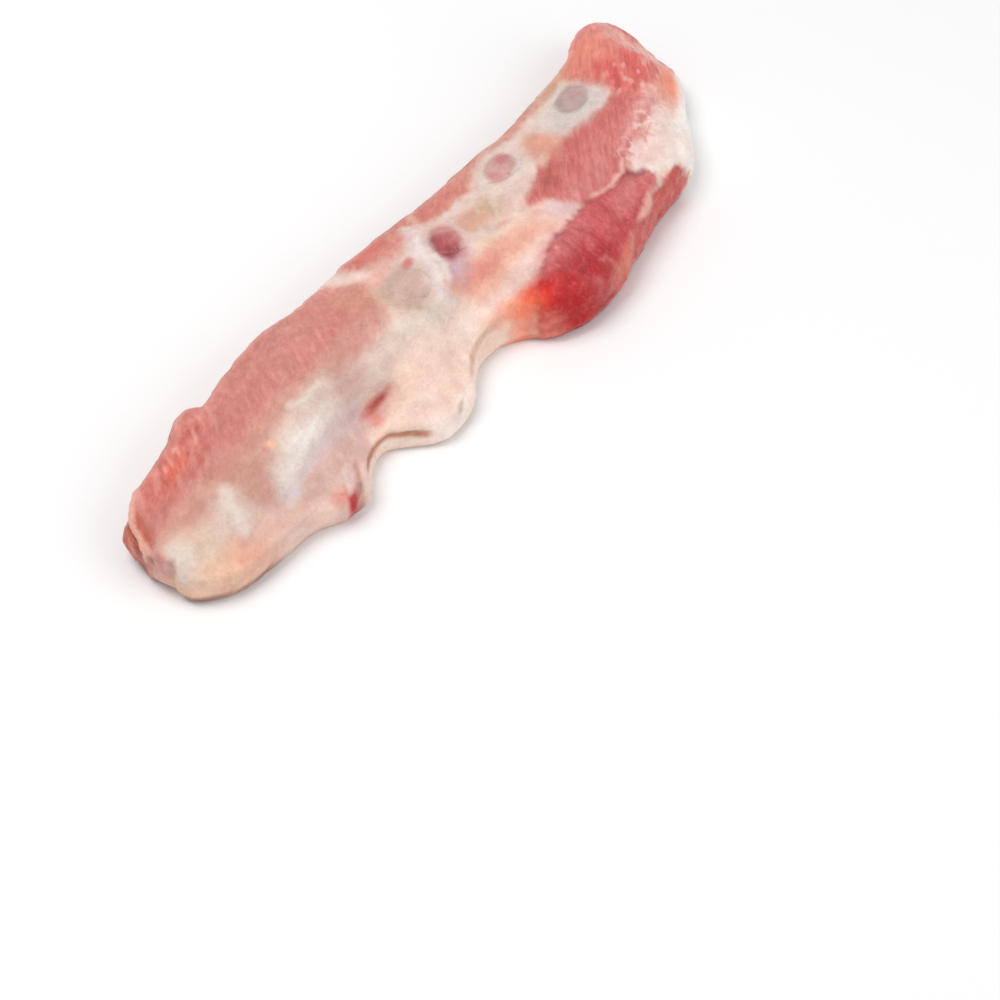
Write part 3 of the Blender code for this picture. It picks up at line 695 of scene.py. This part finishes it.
# The broad end: orange-red muscle with pale streaks that wraps over the end, and a thick pad of
# white fat along its front corner. Curls of fat run into the muscle where the two meet.
def broad_end(s):
    end = s.inside([(93, -4), (91, 3), (90, 8), (88, 14), (91, 21), (97, 27), (104, 32), (104, 60),
                    (160, 60), (160, -2), (120, 2), (106, -6)], 6, 1.2)
    s.paint(s.top * end, (223, 116, 107), raw=0.95, wet=0.5, grain=0.62)
    s.dab(97, 23, 6, 8, 20, 0.8, 0.6, (226, 140, 116), raw=0.6)
    s.dab(99, 11.5, 8, 5, 50, 0.7, 0.7, (212, 86, 83), raw=1)
    s.dab(108, 27, 13, 5.5, 30, 0.7, 0.75, (232, 138, 116), raw=0.6)
    s.dab(110, 19, 6, 5, 30, 0.8, 0.7, (236, 150, 132), raw=0.8)
    s.dab(108, 6, 11, 5, 14, 0.7, 0.6, (230, 92, 86), raw=1)
    s.dab(120, 13, 3.6, 14, -8, 0.7, 0.8, (246, 184, 170), raw=0.6)
    tufts = s.strands(0.62, 8, 1.6, 29)
    light = smooth_step(0.1, 0.6, tufts)
    s.paint(s.top * end * light * 0.3, (242, 160, 144), raw=0.6, rise=0.2)
    dark = smooth_step(-0.1, -0.6, tufts)
    s.paint(s.top * end * dark * 0.35, (204, 78, 74), raw=1, rise=-0.2)
    # Pale flecks of fat, which also stand in for small wet glints: partly painted highlights.
    flecks = smooth_step(0.2, 0.6, s.strands(0.62, 3.2, 1.3, 51))
    flecked = s.patch(104, 3, 16, 11, 20, 0.7)
    s.paint(s.top * flecks * flecked * 0.6, (244, 184, 174), raw=0.4, rise=0.25)

    pad = s.inside([(67, -18), (70, -15.5), (78, -13.5), (88, -11), (96, -8.5), (106, -6.5),
                    (118, -2), (128, 6), (130, -45), (88, -45), (86, -28), (78, -24.5),
                    (72, -22)], 3, 1.4)
    s.paint(s.top * pad, (244, 226, 217), raw=0, wet=0.35, rise=0.5)
    s.dab(106, -14, 17, 8, 30, 0.6, 0.9, (254, 246, 240), raw=0)
    s.dab(76, -18.5, 8, 3, -10, 0.7, 0.7, (238, 205, 196))
    s.dab(88, -18, 8, 4, 6, 0.8, 0.6, (238, 214, 203), raw=0)
    s.dab(103, -9.5, 10, 2, 22, 0.8, 0.6, (248, 196, 178))
    s.dab(109.5, -3.6, 12, 2.8, 26, 0.8, 0.9, (243, 134, 100), 1, raw=0.3)
    seam = s.along([(72, -14), (77, -13), (84, -12), (92, -8.5), (101, -5.5)], 4.0, 0.9)
    s.paint(s.top * seam * 0.35, (236, 172, 164), raw=0.2)
    curls = web(s.at, 4.2, 52, 0.26)
    s.paint(s.top * seam * curls * 0.85, (246, 214, 207), raw=0.05, rise=0.3)
    s.paint(s.top * seam * web(s.at, 5, 55, 0.16) * 0.6, (216, 116, 110), raw=0.6, rise=-0.2)
    s.dab(81.5, -12.6, 3, 1.6, 20, 0.7, 0.5, (220, 140, 132), raw=0.5)
    s.dab(95, -4.5, 8, 1.6, 14, 0.8, 0.5, (242, 190, 182), raw=0.1, rise=0.25)
    s.dab(77, -9.5, 7, 1.0, 14, 0.8, 0.4, (240, 186, 178), raw=0.1, rise=0.2)


# The whole strip: its regions laid one over the other. Then fine streaks run through all muscle,
# the sawn rim is roughened, and a bump at the rear and the rounding of the broad end are set.
def dress(s):
    """Lays every region of the strip on a piece's skin."""
    for region in (sides, underside, membrane, near_end, cartilage, sawn_band, fat_flap,
                   long_band, plump_front, broad_end, sawn_ends):
        region(s)
    streaks = s.strands(0.62, 9, 1.3, 61) * 0.6 + s.strands(0.55, 4, 0.8, 62) * 0.4
    uneven = 0.07 * streaks * s.raw + 0.035 * lumps(s.at, 5, 63) + 0.03 * lumps(s.at, 1.9, 64)
    s.tint *= 1 + uneven[:, None]
    s.paint(smooth_step(0.3, 0.75, streaks) * s.raw * 0.14, (234, 156, 144))
    rim = smooth_step(-0.3, 0.1, s.normal[:, 2]) * smooth_step(0.75, 0.4, s.normal[:, 2])
    # Painted shade: the sloping rear rim is darkened where it turns down from the top.
    s.paint(rim * smooth_step(8, 16, s.at[:, 1]) * 0.35, (168, 92, 74))
    s.rise += (0.16 * lumps(s.at, 3.2, 41) + 0.28 * lumps(s.at, 8, 42)) * (0.5 + 0.5 * s.raw)
    s.rise += rim * (0.55 * lumps(s.at, 6, 43) + 0.4 * lumps(s.at, 2.8, 44) - 0.3)
    s.rise += 0.12 * streaks * s.raw
    s.rise += 1.2 * s.patch(-91, 28, 5, 4, 0, 0.6) - 0.9 * s.patch(-82.5, 29, 3.5, 4, 0, 0.6)
    s.rise -= 2.2 * s.patch(124, 16, 9, 12, 0, 0.5) * smooth_step(7, 11, s.at[:, 2])


# The meeting of meat and ribs: both are brought level with a surface without pockets, which is
# that of the meat with its ribs swollen to fill them.
RIB_ENDS = ((82, 14.6), (42, 12), (3.5, 3), (-18, 2))
RIB_END_REACH = 18
UPRIGHT = 0.12
OVERHEAD = 0.06

strip_mesh = fine_copy(["meat_strip"], "strip_of_meat", FINE, SMOOTHING)
whole_mesh = fine_copy(["meat_strip", "rib_1", "rib_2", "rib_3", "rib_4"], "whole_top", FINE,
                       SMOOTHING, POCKET_FILL)
whole = bmesh.new()
whole.from_mesh(whole_mesh)
whole_top = BVHTree.FromBMesh(whole)
whole.free()


def level(skin, deep, middle, rim, flattest=UPRIGHT):
    """Brings the edge of a pocket, or a rib's sawn end, level with the surface round it.

    What stands nearly upright is only kept from sticking out.
    """
    near = np.zeros(len(skin.at), bool)
    for x, y in RIB_ENDS:
        near |= np.hypot(skin.at[:, 0] - x, skin.at[:, 1] - y) < RIB_END_REACH
    for spot in np.flatnonzero(near & (skin.normal[:, 2] > flattest)):
        x, y, z = skin.at[spot] * MM
        place = whole_top.ray_cast(Vector((x, y, OVERHEAD)), Vector((0, 0, -1)))[0]
        if place is not None and skin.normal[spot, 2] < UPRIGHT:
            skin.at[spot, 2] = min(z, place.z + (rim - 0.3) * MM) / MM
        elif place is not None and abs(place.z - z) < deep * MM:
            raised = rim + (middle - rim) * smooth_step(0.55, 0.95, skin.normal[spot, 2])
            skin.at[spot, 2] = place.z / MM + raised
            skin.normal[spot] = (0, 0, 1)


strip_skin = Skin(strip_mesh)
level(strip_skin, 1.8, 0, 0)
dress(strip_skin)
strip_skin.finish(*cad_box)
strip = bpy.data.objects.new("strip_of_meat", strip_mesh)
bpy.context.scene.collection.objects.link(strip)


# The finish of raw meat: painted tissue colours, broken up by mottling, fibres and fine pale
# flecks of fat, under a thin uneven film of juice.
FAT_FLECK = (0.80, 0.42, 0.37, 1)
MILKY = (0.86, 0.66, 0.60, 1)


class Signal:
    """A number that varies over a surface. Sums and products of it become Math nodes."""

    def __init__(self, tree, socket):
        self.tree = tree
        self.socket = socket

    def math(self, operation, first, second):
        made = self.tree.nodes.new("ShaderNodeMath")
        made.operation = operation
        for socket, value in zip(made.inputs, (first, second)):
            if isinstance(value, Signal):
                self.tree.links.new(value.socket, socket)
            else:
                socket.default_value = value
        return Signal(self.tree, made.outputs[0])

    def __add__(self, other):
        return self.math("ADD", self, other)

    def __sub__(self, other):
        return self.math("SUBTRACT", self, other)

    def __rsub__(self, other):
        return self.math("SUBTRACT", other, self)

    def __mul__(self, other):
        return self.math("MULTIPLY", self, other)

    __radd__ = __add__
    __rmul__ = __mul__


class Finish:
    """A material whose nodes are made by one method."""

    def __init__(self, name):
        self.material = bpy.data.materials.new(name)
        self.material.use_nodes = True
        self.tree = self.material.node_tree
        self.shader = self.tree.nodes["Principled BSDF"]

    def node(self, kind, inputs, output=0, **settings):
        made = self.tree.nodes.new("ShaderNode" + kind)
        for name, value in settings.items():
            setattr(made, name, value)
        for name, value in inputs.items():
            self.put(made.inputs[name], value)
        return Signal(self.tree, made.outputs[output])

    def put(self, socket, value):
        if isinstance(value, Signal):
            self.tree.links.new(value.socket, socket)
        else:
            socket.default_value = value

    def noise(self, place, scale, detail, roughness, distortion=0.0):
        """A noise from 0 to 1, about a half on average."""
        settings = {"Scale": scale, "Detail": detail, "Roughness": roughness}
        return self.node("TexNoise", {"Vector": place, **settings, "Distortion": distortion})

    def blend(self, factor, below, above, how="MIX"):
        sockets = {0: factor, 6: below, 7: above}
        return self.node("Mix", sockets, 2, data_type="RGBA", blend_type=how)


def raw_meat(name):
    f = Finish(name)
    place = f.node("TexCoord", {}, "Object")
    tint = f.node("Attribute", {}, "Color", attribute_name="tint")
    raw = f.node("Attribute", {}, "Fac", attribute_name="raw")
    wet = f.node("Attribute", {}, "Fac", attribute_name="wet")
    fibres = f.node("Attribute", {}, "Vector", attribute_name="fibres")
    stretched = f.node("VectorMath", {0: fibres, 1: (0.09, 0.55, 0.55)}, operation="MULTIPLY")
    strands = f.noise(stretched, 1.5, 5, 0.6, 0.4)
    mottle = f.noise(place, 210, 5, 0.6)
    grain = f.noise(place, 1100, 3, 0.6)
    veil = f.noise(place, 420, 4, 0.65, 0.6)

    shade = 1 + (strands - 0.5) * raw * 0.75 + (mottle - 0.5) * 0.38 + (grain - 0.5) * 0.26
    rosy = 1 + (strands - 0.5) * raw * 1.35 + (mottle - 0.5) * 0.6 + (grain - 0.5) * 0.36
    uneven = f.node("CombineColor", {"Red": shade, "Green": rosy, "Blue": rosy})
    base = f.blend(1.0, tint, uneven, "MULTIPLY")
    pale = f.node("MapRange", {"Value": strands, "From Min": 0.56, "From Max": 0.76})
    base = f.blend(pale * raw * 0.12, base, FAT_FLECK)
    milky = f.node("MapRange", {"Value": veil, "From Min": 0.5, "From Max": 0.75})
    base = f.blend(milky * (1 - raw * 0.7) * 0.16, base, MILKY)

    f.put(f.shader.inputs["Base Color"], base)
    f.put(f.shader.inputs["Roughness"], 0.55 - wet * 0.22 + (mottle - 0.5) * 0.3)
    f.put(f.shader.inputs["Coat Weight"], wet * 0.7)
    f.shader.inputs["Coat Roughness"].default_value = 0.1
    f.shader.inputs["Coat IOR"].default_value = 1.38
    f.shader.inputs["Specular IOR Level"].default_value = 0.35
    f.shader.inputs["Subsurface Weight"].default_value = 0.2
    f.shader.inputs["Subsurface Radius"].default_value = (1.0, 0.42, 0.3)
    f.shader.inputs["Subsurface Scale"].default_value = 2.0 * MM
    height = (strands - 0.5) * raw * 1.0 + (mottle - 0.5) * 0.6
    height = height + (grain - 0.5) * 0.25 + (veil - 0.5) * 0.3
    relief = f.node("Bump", {"Strength": 0.8, "Distance": 0.85 * MM, "Height": height})
    f.put(f.shader.inputs["Normal"], relief)
    return f.material


strip_mesh.materials.append(raw_meat("raw_meat"))
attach(strip, "root")
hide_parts("meat_strip")

# The ribs: short flat rods of bone and cartilage, each grown into its own pocket of the meat.
# Only the sawn end shows, level with the meat round it.
RIB_FINE = 0.5 * MM
RIB_SMOOTHING = 2
RIB_SWELL = {"rib_1": 1.3, "rib_2": 1.3, "rib_3": 1.3, "rib_4": 1.9}
RIB_SIDE = (224, 204, 190)

for name, swell in RIB_SWELL.items():
    rib_mesh = fine_copy([name], name + "_sawn", RIB_FINE, RIB_SMOOTHING)
    rib_skin = Skin(rib_mesh)
    rib_skin.at += rib_skin.normal * (1, 1, 0) * swell
    level(rib_skin, 2.5, 0.12, -0.12, -0.5)
    dress(rib_skin)
    rib_skin.paint(1 - rib_skin.top, RIB_SIDE, raw=0, wet=0.3)
    rib_skin.finish(*cad_box)
    rib = bpy.data.objects.new(name + "_sawn", rib_mesh)
    bpy.context.scene.collection.objects.link(rib)
    rib_mesh.materials.append(raw_meat("sawn_" + name))
    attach(rib, "root")
    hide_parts(name)
